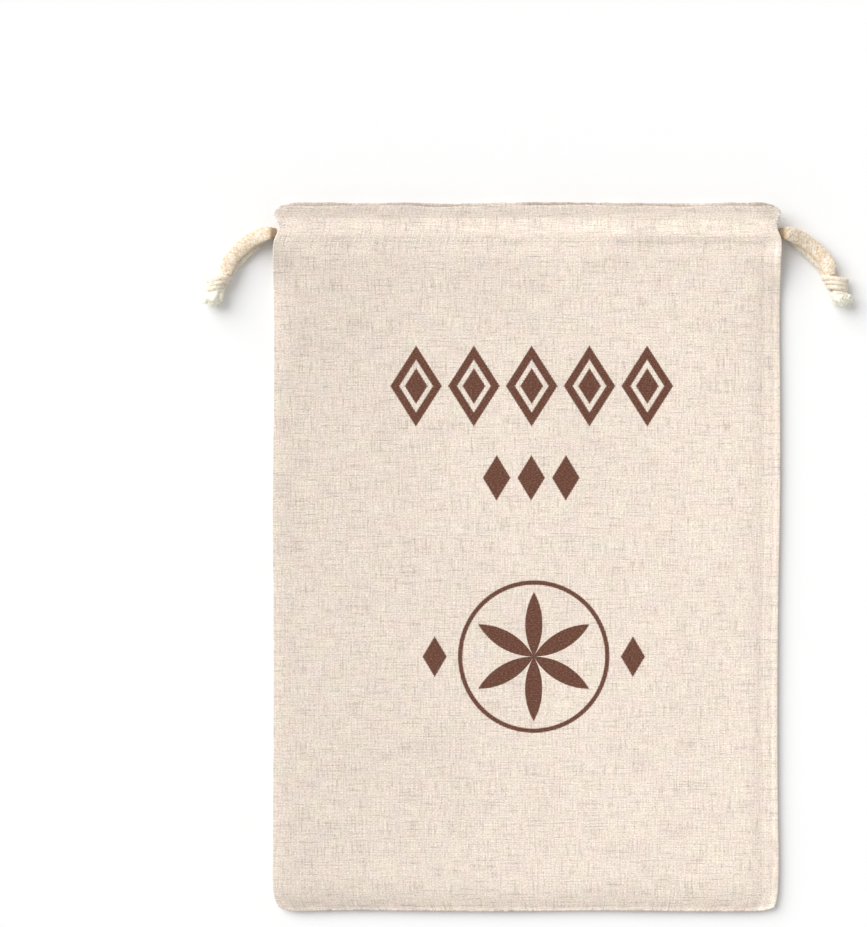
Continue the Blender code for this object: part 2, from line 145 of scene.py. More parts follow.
def smooth_curve(places, values, at):
    """A smooth curve through values at rising places, read at the given ones."""
    at = np.clip(at, places[0], places[-1])
    before = np.concatenate(([0], np.arange(len(places) - 1)))
    after = np.concatenate((np.arange(1, len(places)), [len(places) - 1]))
    slopes = (values[after] - values[before]) / (places[after] - places[before])
    here = np.clip(np.searchsorted(places, at, side="right") - 1, 0, len(places) - 2)
    step = places[here + 1] - places[here]
    t = (at - places[here]) / step
    return (
        values[here] * (1 + 2 * t) * (1 - t) ** 2
        + values[here + 1] * t * t * (3 - 2 * t)
        + slopes[here] * step * t * (1 - t) ** 2
        - slopes[here + 1] * step * t * t * (1 - t)
    )


def seam_pull(y):
    """1 along the sewn sides, 0 where the side seams have ended below the casing."""
    return 1.0 - soft_step((y - SEAM_END[0]) / (SEAM_END[1] - SEAM_END[0]))


def rise_from_edge(distance, reach):
    """Rounded rise from a seam, 0 on it and 1 from the given reach inwards."""
    return 1.0 - (1.0 - np.clip(distance / reach, 0.0, 1.0)) ** RISE_FULLNESS


def front_slack(x, y):
    """Height of the front panel's low waves and small creases."""
    fade = 1.0 - soft_step((y - WAVES_END[0]) / (WAVES_END[1] - WAVES_END[0]))
    turn = 2 * math.pi
    wave = sum(wave.height * math.sin(turn * (x / wave.across + y / wave.along) + wave.start)
               for wave in FRONT_WAVES)
    crease = 0.00025 * noise.noise(Vector((x * 30, y * 24, 0.3)))
    return fade * wave + (0.4 + 0.6 * fade) * crease


def casing_pucker(x, y):
    """Height of the small upright puckers that the strings and the stitching draw in the casing."""
    broad = noise.noise(Vector((x * 62, y * 12, 1.7)))
    fine = noise.noise(Vector((x * 150, y * 30, 5.2)))
    return 0.00022 + 0.00042 * broad + 0.00014 * fine


def column_path(share, body, hem, flat, bottom, lip, crossing, up):
    """Rows of one column of a panel: y, height, share of the puckers, and how far its sides are cut back."""
    nominal = ENDS[0].x + share * (ENDS[-1].x - ENDS[0].x)
    near = (LIFT_NONE - abs(nominal - crossing)) / (LIFT_NONE - LIFT_FULL)
    lift = CROSSING_LIFT * float(soft_step(near))
    turn = lip - FOLD_RADIUS - CLOTH / 2
    flat_y = [SHOULDER + row.share * (turn - SHOULDER) for row in flat]
    path = [(bottom + step, body[0].height, 0, 0) for step in FOOT_STEPS]
    path += [(row.y, row.height + row.lift * lift, row.pucker, 0) for row in body]
    path += [(y, row.outer, 0.8, 0) for y, row in zip(flat_y, flat)]
    middle = (flat[-1].outer + flat[-1].hem) / 2
    for step in range(1, FOLD_STEPS):
        angle = math.pi * step / FOLD_STEPS
        path.append((turn + FOLD_RADIUS * math.sin(angle),
                     middle + up * FOLD_RADIUS * math.cos(angle), 0.5, 0))
    path += [(y, row.hem, 0, HEM_CUT_BACK * (1.0 - row.share))
             for y, row in zip(reversed(flat_y), reversed(flat))]
    path += [(row.y, row.height + row.lift * lift, 0, HEM_CUT_BACK) for row in hem]
    return np.array(path)


def panel_places():
    """Columns across a panel: share of the width, and how far the cloth has turned in at the seam."""
    near = [far / BAG_WIDE for far in SIDE_STEPS]
    first, last = near[-1], 1.0 - near[-1]
    middle = [first + (last - first) * i / MIDDLE_STEPS for i in range(1, MIDDLE_STEPS)]
    flat = near + middle + [1.0 - share for share in reversed(near)]
    return ([(0.0, turn) for turn in SEAM_TURNS] + [(share, 0.0) for share in flat]
            + [(1.0, turn) for turn in reversed(SEAM_TURNS)])


def panel_grid(is_front):
    """Middle of a panel's cloth as a grid of points, with the place of each in the flat cloth."""
    body, hem, flat = (FRONT_BODY, FRONT_HEM, FRONT_FLAT) if is_front else (BACK_BODY, BACK_HEM, BACK_FLAT)
    crossing = FRONT_CROSSING if is_front else BACK_CROSSING
    up = 1.0 if is_front else -1.0
    shares = panel_places()
    paths = []
    for share, _ in shares:
        nominal = ENDS[0].x + share * (ENDS[-1].x - ENDS[0].x)
        bottom = read_table(ENDS, nominal, "bottom")
        lip = read_table(ENDS, nominal, "top") - (FRONT_LIP_BACK if is_front else 0.0)
        if is_front:
            lip += 0.0009 * noise.noise(Vector((nominal * 40, 2.2, 0.0)))
        lip += 0.0004 * noise.noise(Vector((nominal * 170, 2.2 if is_front else 7.4, 0.0)))
        paths.append(column_path(share, body, hem, flat, bottom, lip, crossing, up))
    middle = paths[len(paths) // 2]
    lengths = np.hypot(*np.diff(middle[:, :2], axis=0).T)
    parts = []
    for k, length in enumerate(lengths):
        step = CASING_STEP if middle[k, 0] > FINE_FROM else ROW_STEP
        count = max(1, math.ceil(length / step))
        parts += [(k, i / count) for i in range(count)]
    parts.append((len(lengths) - 1, 1.0))
    grid, flat_places = [], []
    for (share, turn), path in zip(shares, paths):
        far = np.concatenate(([0.0], np.cumsum(np.hypot(*np.diff(path[:, :2], axis=0).T))))
        at = np.array([far[k] + t * (far[k + 1] - far[k]) for k, t in parts])
        rows = [smooth_curve(far, path[:, axis], at) for axis in range(4)]
        first = [(rows[0][0], rows[1][0], 0.0, 0.0, 0.0, foot) for foot in SEAM_TURNS]
        rest = [(*row, 0.0) for row in zip(*rows, at)]
        column, places = [], []
        for y, z, pucker, cut_back, v, foot in first + rest:
            point = panel_point(share, turn, foot, y, z, pucker, cut_back, path[0, 0], is_front)
            column.append(point)
            places.append(((share - 0.5) * BAG_WIDE, path[0, 0] + v))
        grid.append(column)
        flat_places.append(places)
    return grid, flat_places


def panel_point(share, turn, foot, y, z, pucker, cut_back, bottom, is_front):
    """Where a point of a panel lies: risen from the seams, slack, and turned in at the edges."""
    left = float(read_table(SIDES, y, "left")) + SEAM_ROLL + CLOTH / 2 + cut_back
    right = float(read_table(SIDES, y, "right")) - SEAM_ROLL - cut_back
    x = left + share * (right - left)
    from_side = min(x - left, right - x) + SEAM_ROLL
    pull = float(seam_pull(y))
    reach = FRONT_RISE if is_front else BACK_RISE
    rise = float(rise_from_edge(from_side, reach) * rise_from_edge(y - bottom + SEAM_ROLL, reach))
    if is_front:
        z += rise * front_slack(x, y) + pucker * casing_pucker(x, y)
        z -= pull * (1.0 - rise) * (z - FRONT_SEAM)
    else:
        z += pull * (1.0 - rise) * (BACK_SEAM - z)
    inwards = -1.0 if is_front else 1.0
    outwards = -1.0 if share < 0.5 else 1.0
    drop = SEAM_ROLL * (2.0 - math.cos(turn) - math.cos(foot)) * (0.3 + 0.7 * pull)
    return (x + outwards * SEAM_ROLL * math.sin(turn), y - SEAM_ROLL * math.sin(foot), z + inwards * drop)


def mesh_piece(name, points, faces):
    mesh = bpy.data.meshes.new(name)
    mesh.from_pydata(points, [], faces)
    mesh.shade_smooth()
    piece = bpy.data.objects.new(name, mesh)
    bpy.context.scene.collection.objects.link(piece)
    return piece


def grid_piece(name, grid, places):
    """A sheet through a grid of points, with the flat cloth's places as its UV."""
    count = len(grid[0])
    points = [point for column in grid for point in column]
    flat = [place for column in places for place in column]
    faces = []
    for i in range(len(grid) - 1):
        for j in range(count - 1):
            a = i * count + j
            faces.append((a, a + count, a + count + 1, a + 1))
    piece = mesh_piece(name, points, faces)
    layer = piece.data.uv_layers.new(name="Cloth")
    for loop in piece.data.loops:
        layer.data[loop.index].uv = flat[loop.vertex_index]
    return piece


def thicken(piece, thickness):
    cloth = piece.modifiers.new("Cloth thickness", "SOLIDIFY")
    cloth.thickness = thickness
    cloth.offset = 0.0
    cloth.use_rim = True


def node(tree, kind, inputs=(), **settings):
    """A shader node. Each input is a value, or the output of another node."""
    made = tree.nodes.new(kind)
    for name, value in settings.items():
        setattr(made, name, value)
    for key, value in dict(inputs).items():
        if isinstance(value, bpy.types.NodeSocket):
            tree.links.new(value, made.inputs[key])
        else:
            made.inputs[key].default_value = value
    return made


def calc(tree, operation, *values, clamp=False):
    return node(tree, "ShaderNodeMath", enumerate(values), operation=operation, use_clamp=clamp).outputs[0]


def grain(tree, x, y, offset, detail=2.0, rough=0.6):
    """Noise from 0 to 1 over two places that are already counted in its own grains."""
    place = node(tree, "ShaderNodeCombineXYZ", {0: x, 1: y, 2: offset}).outputs[0]
    return node(tree, "ShaderNodeTexNoise", {"Vector": place, "Scale": 1.0, "Detail": detail,
                                             "Roughness": rough}).outputs[0]


def times(tree, value, factor):
    return calc(tree, "MULTIPLY", value, factor)


THREAD = 0.0010
LINEN = (0.80, 0.695, 0.60)
INK = (0.135, 0.046, 0.025)
WHOLE_TONE = 1.03
YARNS_VARY = 0.95
FLECKS_VARY = 1.2
WEAVE_VARIES = 0.2
PATCHES_VARY = 0.08
BREADTHS_VARY = 0.11
DARK_YARN = 0.17


def band(tree, value, middle, half, soft):
    """1 within half of the middle, fading to 0 over the soft distance."""
    off = calc(tree, "ABSOLUTE", calc(tree, "SUBTRACT", value, middle))
    return calc(tree, "MULTIPLY_ADD", off, -1.0 / soft, (half + soft) / soft, clamp=True)


def vary(tree, value, noise, amount):
    """A value made up to half the amount lighter or darker by a noise from 0 to 1."""
    return calc(tree, "MULTIPLY", value, calc(tree, "MULTIPLY_ADD", noise, amount, 1.0 - amount / 2))


def linen(name, printed, painted_light_tones):
    """Plain weave of uneven yarns, some thick and some dark, in unbleached linen."""
    finish = bpy.data.materials.new(name)
    finish.use_nodes = True
    tree = finish.node_tree
    shader = tree.nodes["Principled BSDF"]
    uv = node(tree, "ShaderNodeUVMap", uv_map="Cloth").outputs[0]
    parts = node(tree, "ShaderNodeSeparateXYZ", {0: uv})
    u, v = parts.outputs[0], parts.outputs[1]

    # Each yarn wanders a little from its straight line
    drift_u = grain(tree, times(tree, u, 260.0), times(tree, v, 90.0), 4.0)
    drift_v = grain(tree, times(tree, u, 90.0), times(tree, v, 260.0), 9.0)
    warp = calc(tree, "MULTIPLY_ADD", u, 1.0 / THREAD, times(tree, drift_u, 1.5))
    weft = calc(tree, "MULTIPLY_ADD", v, 1.0 / THREAD, times(tree, drift_v, 1.5))
    wave_a = calc(tree, "SINE", times(tree, warp, math.pi))
    wave_b = calc(tree, "SINE", times(tree, weft, math.pi))
    over = calc(tree, "MULTIPLY", wave_a, wave_b)
    high_a = calc(tree, "ABSOLUTE", wave_a)
    high_b = calc(tree, "ABSOLUTE", wave_b)
    both = times(tree, calc(tree, "ADD", high_a, high_b), 0.5)
    apart = calc(tree, "SUBTRACT", high_a, high_b)
    height = calc(tree, "MULTIPLY_ADD", times(tree, over, 0.5), apart, both)

    # Yarns differ from each other and along their length, and some have dark flecks
    warp_tone = grain(tree, times(tree, u, 1.0 / THREAD), times(tree, v, 80.0), 2.0, 2.0, 0.7)
    weft_tone = grain(tree, times(tree, u, 62.0), times(tree, v, 1.0 / THREAD), 6.0, 2.0, 0.7)
    yarns = times(tree, calc(tree, "ADD", warp_tone, weft_tone), 0.5)
    dark = calc(tree, "ADD", calc(tree, "MULTIPLY_ADD", warp_tone, -9.0, 3.75, clamp=True),
                calc(tree, "MULTIPLY_ADD", weft_tone, -9.0, 3.75, clamp=True))
    fleck = grain(tree, times(tree, u, 700.0), times(tree, v, 1700.0), 12.0, 2.0, 0.6)
    patch = grain(tree, times(tree, u, 160.0), times(tree, v, 200.0), 15.0, 2.0, 0.6)
    broad = grain(tree, times(tree, u, 16.0), times(tree, v, 11.0), 31.0, 2.0, 0.5)
    # The weave's height also sets the tone: painted shade in the dips between the yarns
    shade = WHOLE_TONE
    for grains, amount in ((yarns, YARNS_VARY), (fleck, FLECKS_VARY), (height, WEAVE_VARIES),
                           (patch, PATCHES_VARY), (broad, BREADTHS_VARY)):
        shade = vary(tree, shade, grains, amount)
    shade = calc(tree, "MULTIPLY", shade, calc(tree, "MULTIPLY_ADD", dark, -DARK_YARN, 1.01))
    # The panel's painted light and shade
    for tone in painted_light_tones(tree, u, v):
        shade = calc(tree, "MULTIPLY", shade, tone)
    warm = calc(tree, "SUBTRACT", grain(tree, times(tree, u, 90.0), times(tree, v, 90.0), 20.0, 0.5), 0.5)
    pink = calc(tree, "SUBTRACT", grain(tree, times(tree, u, 80.0), times(tree, v, 80.0), 40.0, 0.5), 0.5)
    red = calc(tree, "MULTIPLY", shade, calc(tree, "MULTIPLY_ADD", warm, 0.025, LINEN[0]))
    green = calc(tree, "MULTIPLY", shade, calc(tree, "MULTIPLY_ADD", pink, 0.07, LINEN[1]))
    blue = calc(tree, "MULTIPLY", shade, calc(tree, "MULTIPLY_ADD", warm, -0.045, LINEN[2]))
    colour = node(tree, "ShaderNodeCombineColor", {0: red, 1: green, 2: blue}).outputs[0]
    if printed:
        inked = print_mask(tree, u, v, height, fleck)
        colour = node(tree, "ShaderNodeMix", {"Factor": inked, 6: colour, 7: (*INK, 1.0)},
                      data_type="RGBA").outputs[2]
    bump = node(tree, "ShaderNodeBump", {"Strength": 0.8, "Distance": 0.00015, "Height": height})
    tree.links.new(colour, shader.inputs["Base Color"])
    tree.links.new(bump.outputs[0], shader.inputs["Normal"])
    shader.inputs["Roughness"].default_value = 0.92
    shader.inputs["Specular IOR Level"].default_value = 0.25
    return finish


def front_painted_light(tree, u, v):
    """Painted light and shade on the front panel: painted highlight where the strings press the casing up,
    painted light round the stitching, along the foot and on the right seam, where those slopes face away
    from the lamp, and painted shade along the lip, at the left seam, darker left than right, and darker
    at its right corner."""
    # A noise that breaks up the painted highlight along the ridge
    painted_light_share = grain(tree, times(tree, u, 60.0), times(tree, v, 160.0), 55.0)
    ridge = calc(tree, "MULTIPLY", band(tree, v, RIDGE_AT, 0.0020, 0.0040),
                 calc(tree, "MULTIPLY_ADD", painted_light_share, 2.6, -0.75, clamp=True))
    below = band(tree, v, STITCH_AT, 0.0040, 0.0070)
    top = band(tree, v, 0.2165, 0.0055, 0.0030)
    seam_ends = calc(tree, "MULTIPLY_ADD", v, -1.0 / 0.008, 0.198 / 0.008, clamp=True)
    right = calc(tree, "MULTIPLY", band(tree, u, 0.1570, 0.0022, 0.0016), seam_ends)
    rim = calc(tree, "MULTIPLY", band(tree, u, 0.1516, 0.0026, 0.0030), seam_ends)
    left = calc(tree, "MULTIPLY", band(tree, u, -0.1570, 0.0085, 0.0130), seam_ends)
    corner = calc(tree, "MULTIPLY", band(tree, u, 0.1570, 0.0080, 0.0080), top)
    far_left = band(tree, u, -0.1570, 0.030, 0.120)
    foot = band(tree, v, -0.2195, 0.0012, 0.0010)
    # Painted shade: the panel a little darker to the left and lighter to the right
    slope = calc(tree, "MULTIPLY_ADD", u, 0.20, 0.998)
    painted_light_tones = (
        (ridge, 0.17), (below, 0.10), (top, -0.165), (right, 0.24), (rim, 0.18), (foot, 0.16),
        (left, -0.11), (far_left, -0.045), (corner, -0.09),
    )
    return [calc(tree, "MULTIPLY_ADD", place, amount, 1.0) for place, amount in painted_light_tones] + [slope]


def back_tones(tree, u, v):
    """Darker in places along the lip, which the front one keeps in the shade."""
    where = grain(tree, times(tree, u, 22.0), 3.0, 61.0)
    where = calc(tree, "MULTIPLY_ADD", where, 5.0, -1.7, clamp=True)
    lip = calc(tree, "MULTIPLY", band(tree, v, LIP_AT, 0.004, 0.002), where)
    return [calc(tree, "MULTIPLY_ADD", lip, -0.34, 0.96)]


# The print: a row of five lozenges, a smaller row of three, and a six-petalled rosette in a ring
LARGE_ROW = (0.0028, 0.1060)
SMALL_ROW = (0.0028, 0.0490)
ROSETTE = (0.0050, -0.0620)


def lozenge_row(tree, u, v, middle, pitch, count, half_wide, half_high, rings):
    """Depth inside a row of lozenges in metres, below 0 outside them and in their cut-out ring."""
    across = times(tree, calc(tree, "SUBTRACT", u, middle[0]), 1.0 / pitch)
    most = (count - 1) / 2
    shift = 0.0 if count % 2 else 0.5
    which = calc(tree, "ADD", calc(tree, "ROUND", calc(tree, "SUBTRACT", across, shift)), shift)
    which = calc(tree, "MINIMUM", calc(tree, "MAXIMUM", which, -most), most)
    x = times(tree, calc(tree, "ABSOLUTE", calc(tree, "SUBTRACT", across, which)), pitch / half_wide)
    y = times(tree, calc(tree, "ABSOLUTE", calc(tree, "SUBTRACT", v, middle[1])), 1.0 / half_high)
    far = calc(tree, "ADD", x, y)
    depth = calc(tree, "SUBTRACT", 1.0, far)
    if rings:
        ring = calc(tree, "SUBTRACT", calc(tree, "ABSOLUTE", calc(tree, "SUBTRACT", far, 0.55)), 0.11)
        depth = calc(tree, "MINIMUM", depth, ring)
    return times(tree, depth, half_wide * 0.84)


def rosette(tree, u, v, middle, reach, ring, ring_wide):
    """Depth inside a ring and the six petals that a compass draws in it."""
    x = calc(tree, "SUBTRACT", u, middle[0])
    y = calc(tree, "SUBTRACT", v, middle[1])
    far = calc(tree, "SQRT", calc(tree, "ADD", calc(tree, "MULTIPLY", x, x), calc(tree, "MULTIPLY", y, y)))
    angle = calc(tree, "ARCTAN2", x, y)
    sixth = math.pi / 3
    folded = calc(tree, "PINGPONG", angle, sixth / 2)
    edge = times(tree, calc(tree, "COSINE", calc(tree, "ADD", folded, sixth)), 2.0 * reach)
    petals = times(tree, calc(tree, "SUBTRACT", edge, far), 0.5)
    hoop = calc(tree, "SUBTRACT", ring_wide / 2, calc(tree, "ABSOLUTE", calc(tree, "SUBTRACT", far, ring)))
    return calc(tree, "MAXIMUM", petals, hoop)


def print_mask(tree, u, v, height, fleck):
    """1 on the print and 0 off it, its edges broken by the weave."""
    shapes = [
        lozenge_row(tree, u, v, LARGE_ROW, 0.0360, 5, 0.0160, 0.0250, True),
        lozenge_row(tree, u, v, SMALL_ROW, 0.0215, 3, 0.0085, 0.0140, False),
        lozenge_row(tree, u, v, ROSETTE, 0.1240, 2, 0.0075, 0.0125, False),
        rosette(tree, u, v, ROSETTE, 0.0400, 0.0460, 0.0026),
    ]
    depth = shapes[0]
    for shape in shapes[1:]:
        depth = calc(tree, "MAXIMUM", depth, shape)
    rough = calc(tree, "MULTIPLY_ADD", calc(tree, "ADD", height, fleck), 0.0006, -0.0006)
    solid = times(tree, calc(tree, "ADD", depth, rough), 1.0 / 0.0005)
    solid = calc(tree, "ADD", solid, 0.5, clamp=True)
    worn = calc(tree, "MULTIPLY_ADD", fleck, -0.45, 1.20, clamp=True)
    return calc(tree, "MULTIPLY", solid, worn)


front = grid_piece("front_panel_linen", *panel_grid(True))
thicken(front, CLOTH)
front.data.materials.append(linen("Linen with print", True, front_painted_light))
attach(front, "root")
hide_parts("front_panel")


# Back panel. The same linen without the print, lying on the floor. Its lip stands a little further
# out than the front's.

BACK_SEAM = 0.00245
BACK_RISE = 0.009
BACK_CROSSING = -0.118
BACK_LEVEL = 0.0006
BACK_BODY = (
    Row(-0.140, BACK_LEVEL, 0, 0), Row(-0.060, BACK_LEVEL, 0, 0), Row(0.020, BACK_LEVEL, 0, 0),
    Row(0.090, BACK_LEVEL, 0, 0), Row(0.140, BACK_LEVEL, 0, 0), Row(0.158, BACK_LEVEL, 0, 0),
    Row(0.172, BACK_LEVEL, 0, 0), Row(0.184, BACK_LEVEL, 0, 0), Row(0.196, BACK_LEVEL, 0, 0),
    Row(0.203, BACK_LEVEL, 0, 0), Row(SHOULDER, BACK_LEVEL, 0, 0),
)
BACK_HEM = (
    Row(SHOULDER, 0.0026, 0.3, 0), Row(0.2100, 0.0037, 1, 0), Row(0.2083, 0.0044, 1, 0),
    Row(0.2060, 0.0045, 1, 0), Row(0.2026, 0.0045, 1, 0), Row(0.1988, 0.0043, 1, 0),
    Row(0.1970, 0.0033, 0.9, 0), Row(0.1960, 0.0022, 0, 0), Row(0.1942, 0.0021, 0, 0),
)
BACK_FLAT = (Flat(0.4, BACK_LEVEL, 0.0022), Flat(1.0, BACK_LEVEL, 0.0021))

back = grid_piece("back_panel_linen", *panel_grid(False))
thicken(back, CLOTH)
back.data.materials.append(linen("Linen", False, back_tones))
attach(back, "root")
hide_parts("back_panel")


# Sewing. Fine cotton thread: a row of stitches holds the front hem down, and the overlocking of the
# side seams ends in loose loops and frayed threads at both corners of the mouth.

FLOOR_GAP = 0.0001
STITCH_PITCH = 0.0030
STITCH_LONG = 0.0023
SEWING_WIDE = 0.00040
LOOP_ROWS = {"left": (0.2168, 0.2046), "right": (0.2150, 0.2050)}
LOOP_PITCH = 0.0015
LOOP_WIDE = 0.00045
LOOP_DEPTH = 0.0032
LOOSE_THREADS = {"left": 9, "right": 22}
STITCHED_WIDE = 0.300
STITCHES_ABOVE = 0.0007
FIBRE_GRAINS = 1900.0
BROWN_GRAINS = 520.0
SLIT_SHADOW_DARK = 0.55


def many_tubes(name, tubes):
    """One mesh of many short tubes with closed ends, each given as points, radii and sides."""
    points, faces = [], []
    for route, radii, sides in tubes:
        first = len(points)
        for i, centre in enumerate(route):
            before, after = route[max(i - 1, 0)], route[min(i + 1, len(route) - 1)]
            forward = (after - before).normalized()
            across = forward.orthogonal().normalized()
            up = forward.cross(across)
            for k in range(sides):
                angle = 2 * math.pi * k / sides
                point = centre + (across * math.cos(angle) + up * math.sin(angle)) * radii[i]
                point.z = max(point.z, FLOOR_GAP)
                points.append(point)
        for i in range(len(route) - 1):
            for k in range(sides):
                j = (k + 1) % sides
                row = first + i * sides
                faces.append((row + k, row + j, row + sides + j, row + sides + k))
        last = first + (len(route) - 1) * sides
        faces.append(tuple(first + k for k in reversed(range(sides))))
        faces.append(tuple(last + k for k in range(sides)))
    return mesh_piece(name, points, faces)


def cotton(name, colour, crease, browner):
    """Cotton yarn of fine fibres, browner in patches, with painted shade in its creases. A crease above 1 is
    darker still, a painted shadow where the string leaves the casing's slit.
    """
    finish = bpy.data.materials.new(name)
    finish.use_nodes = True
    tree = finish.node_tree
    shader = tree.nodes["Principled BSDF"]
    place = node(tree, "ShaderNodeTexCoord").outputs["Object"]
    sunk = node(tree, "ShaderNodeAttribute", attribute_name="Crease").outputs["Fac"]
    fibres, patches = (
        node(tree, "ShaderNodeTexNoise", {"Vector": place, "Scale": grains, "Detail": detail}).outputs[0]
        for grains, detail in ((FIBRE_GRAINS, 3.0), (BROWN_GRAINS, 4.0))
    )
    brown = calc(tree, "MULTIPLY_ADD", patches, 3.0, browner - 1.5, clamp=True)
    # Creases take the crease colour: painted shade in the braid's hollows
    brown = calc(tree, "MULTIPLY_ADD", sunk, 0.6, calc(tree, "SUBTRACT", brown, 0.18), clamp=True)
    mixed = node(tree, "ShaderNodeMix", {"Factor": brown, 6: (*colour, 1.0), 7: (*crease, 1.0)},
                 data_type="RGBA").outputs[2]
    tone = calc(tree, "MULTIPLY_ADD", fibres, 0.4, 0.79)
    # A crease above 1 darkens the tone: the painted shadow of the slit
    slit_shadow = calc(tree, "MINIMUM", calc(tree, "MULTIPLY_ADD", sunk, -SLIT_SHADOW_DARK, 1.0 + SLIT_SHADOW_DARK), 1.0)
    tone = calc(tree, "MULTIPLY", tone, slit_shadow)
    toned = node(tree, "ShaderNodeVectorMath", {0: mixed, 1: tone}, operation="MULTIPLY").outputs[0]
    toned = node(tree, "ShaderNodeVectorMath", {0: toned, 1: (1, 1, 1)}, operation="MINIMUM").outputs[0]
    bump = node(tree, "ShaderNodeBump", {"Strength": 0.6, "Distance": 0.00015, "Height": fibres})
    tree.links.new(toned, shader.inputs["Base Color"])
    tree.links.new(bump.outputs[0], shader.inputs["Normal"])
    shader.inputs["Roughness"].default_value = 0.9
    shader.inputs["Specular IOR Level"].default_value = 0.25
    return finish


def even_route(route, step):
    """Points an even step apart on a smooth curve through a route."""
    far = np.array([0.0] + [(b - a).length for a, b in zip(route, route[1:])]).cumsum()
    at = np.linspace(0.0, far[-1], round(far[-1] / step) + 1)
    places = np.array([tuple(point) for point in route])
    return [Vector(point) for point in zip(*(smooth_curve(far, places[:, k], at) for k in range(3)))]


def cloth_top(tree, x, y):
    """The top of the front panel at a place, or at the nearest part of its edge."""
    hit = tree.ray_cast(Vector((x, y, 0.05)), Vector((0, 0, -1)))[0]
    hit = hit or tree.find_nearest(Vector((x, y, 0.0125)))[0]
    return hit.z + CLOTH / 2


def hem_stitches(tree):
    tubes = []
    chance = random.Random("hem")
    count = int(STITCHED_WIDE / STITCH_PITCH)
    for i in range(count):
        start = -STITCHED_WIDE / 2 + i * STITCH_PITCH
        y = STITCH_LINE + STITCHES_ABOVE + 0.0003 * noise.noise(Vector((start * 50, 4.4, 0)))
        route = []
        for share, lift in ((0, -0.00020), (0.2, 0.00008), (0.5, 0.00014), (0.8, 0.00008), (1, -0.00020)):
            x = start + STITCH_LONG * share
            route.append(Vector((x, y + 0.0002 * (chance.random() - 0.5), cloth_top(tree, x, y) + lift)))
        tubes.append((route, [SEWING_WIDE / 2] * 5, 6))
    return tubes


def corner_loops(tree, side):
    """Loops of overlocking along a corner's edge, and threads that have come loose from them."""
    chance = random.Random(f"overlock {side}")
    way = -1.0 if side == "left" else 1.0
    top, bottom = LOOP_ROWS[side]
    tubes, route = [], []
    count = round((top - bottom) / LOOP_PITCH)
    for i in range(count + 1):
        y = top + (bottom - top) * i / count
        edge = abs(float(read_table(SIDES, y, side)))
        for inwards, along in ((0.0002, 0.0), (LOOP_DEPTH * (0.7 + 0.5 * chance.random()), 0.0004)):
            x = way * (edge - inwards)
            route.append(Vector((x, y - along, cloth_top(tree, x, y - along) + 0.00012)))
    smooth = even_route(route, 0.0004)
    tubes.append((smooth, [LOOP_WIDE / 2] * len(smooth), 6))
    for i in range(LOOSE_THREADS[side]):
        y = bottom + (top - bottom) * chance.random()
        x = way * (abs(float(read_table(SIDES, y, side))) - 0.0008 - 0.0020 * chance.random())
        start = Vector((x, y, cloth_top(tree, x, y)))
        out = Vector((way * (0.4 + chance.random()), -1.2 * chance.random(), 0.1)).normalized()
        curl = Vector([chance.random() - 0.5 for axis in range(3)])
        long = 0.0020 + 0.0024 * chance.random()
        loose = [start + out * long * share + curl * long * 0.7 * share * share
                 for share in (0.0, 0.25, 0.5, 0.75, 1.0)]
        tubes.append((loose, [0.0002, 0.0002, 0.00018, 0.00014, 0.00008], 5))
    return tubes


sewing_cotton = cotton("Sewing thread", (0.90, 0.84, 0.76), (0.80, 0.71, 0.61), -0.2)
loop_cotton = cotton("Overlocking thread", (0.88, 0.82, 0.75), (0.66, 0.57, 0.48), 0.15)
shape = BVHTree.FromPolygons([point.co for point in front.data.vertices],
                             [tuple(face.vertices) for face in front.data.polygons])
hem_row = many_tubes("hem_stitches", hem_stitches(shape))
left_loops = many_tubes("corner_threads_left", corner_loops(shape, "left"))
right_loops = many_tubes("corner_threads_right", corner_loops(shape, "right"))
for piece, thread in ((hem_row, sewing_cotton), (left_loops, loop_cotton), (right_loops, loop_cotton)):
    piece.data.materials.append(thread)
    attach(piece, "root")
    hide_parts("front_panel")


# Free ends of the strings. Braided cotton, 5.6 mm across. A pair leaves the casings at each side, the
# one from the back casing lying on the floor and the other slipping down beside it to their knot.

CORD_WIDE = 0.0056
FLAT_CORD = (0.0052, 0.0020)
FLOOR_CORD = CORD_WIDE / 2 + 0.00005
INTO_KNOT = 0.0022
INTO_CASING = 0.0020
BRAID_STRANDS = 8
BRAID_PITCH = 0.0022
BRAID_DEPTH = 0.00042
# Length and fade of the painted shadow at the start of a free end, where it leaves the casing's slit
SLIT_SHADOW_LONG = 0.0052
SLIT_SHADOW_FADE = 0.0024
FRONT_OUT = 0.7
Pair = namedtuple("Pair", "x y half_apart height")
FREE_PAIRS = {
    "left": (
        Pair(-0.1575, 0.2006, 0.0, 0.0128), Pair(-0.1612, 0.2005, 0.0001, 0.0124),
        Pair(-0.1652, 0.1989, 0.0009, 0.0105), Pair(-0.1704, 0.1956, 0.0020, 0.0081),
        Pair(-0.1762, 0.1908, 0.00245, 0.0066), Pair(-0.1809, 0.1861, 0.0024, 0.0066),
        Pair(-0.1843, 0.1816, 0.0019, 0.0076), Pair(-0.1859, 0.1771, 0.0009, 0.0086),
    ),
    "right": (
        Pair(0.1575, 0.2006, 0.0, 0.0128), Pair(0.1613, 0.2004, 0.0001, 0.0124),
        Pair(0.1655, 0.1987, 0.0009, 0.0105), Pair(0.1709, 0.1953, 0.0020, 0.0081),
        Pair(0.1771, 0.1906, 0.00245, 0.0066), Pair(0.1819, 0.1857, 0.0024, 0.0066),
        Pair(0.1856, 0.1812, 0.0019, 0.0076), Pair(0.1871, 0.1767, 0.0009, 0.0086),
    ),
}


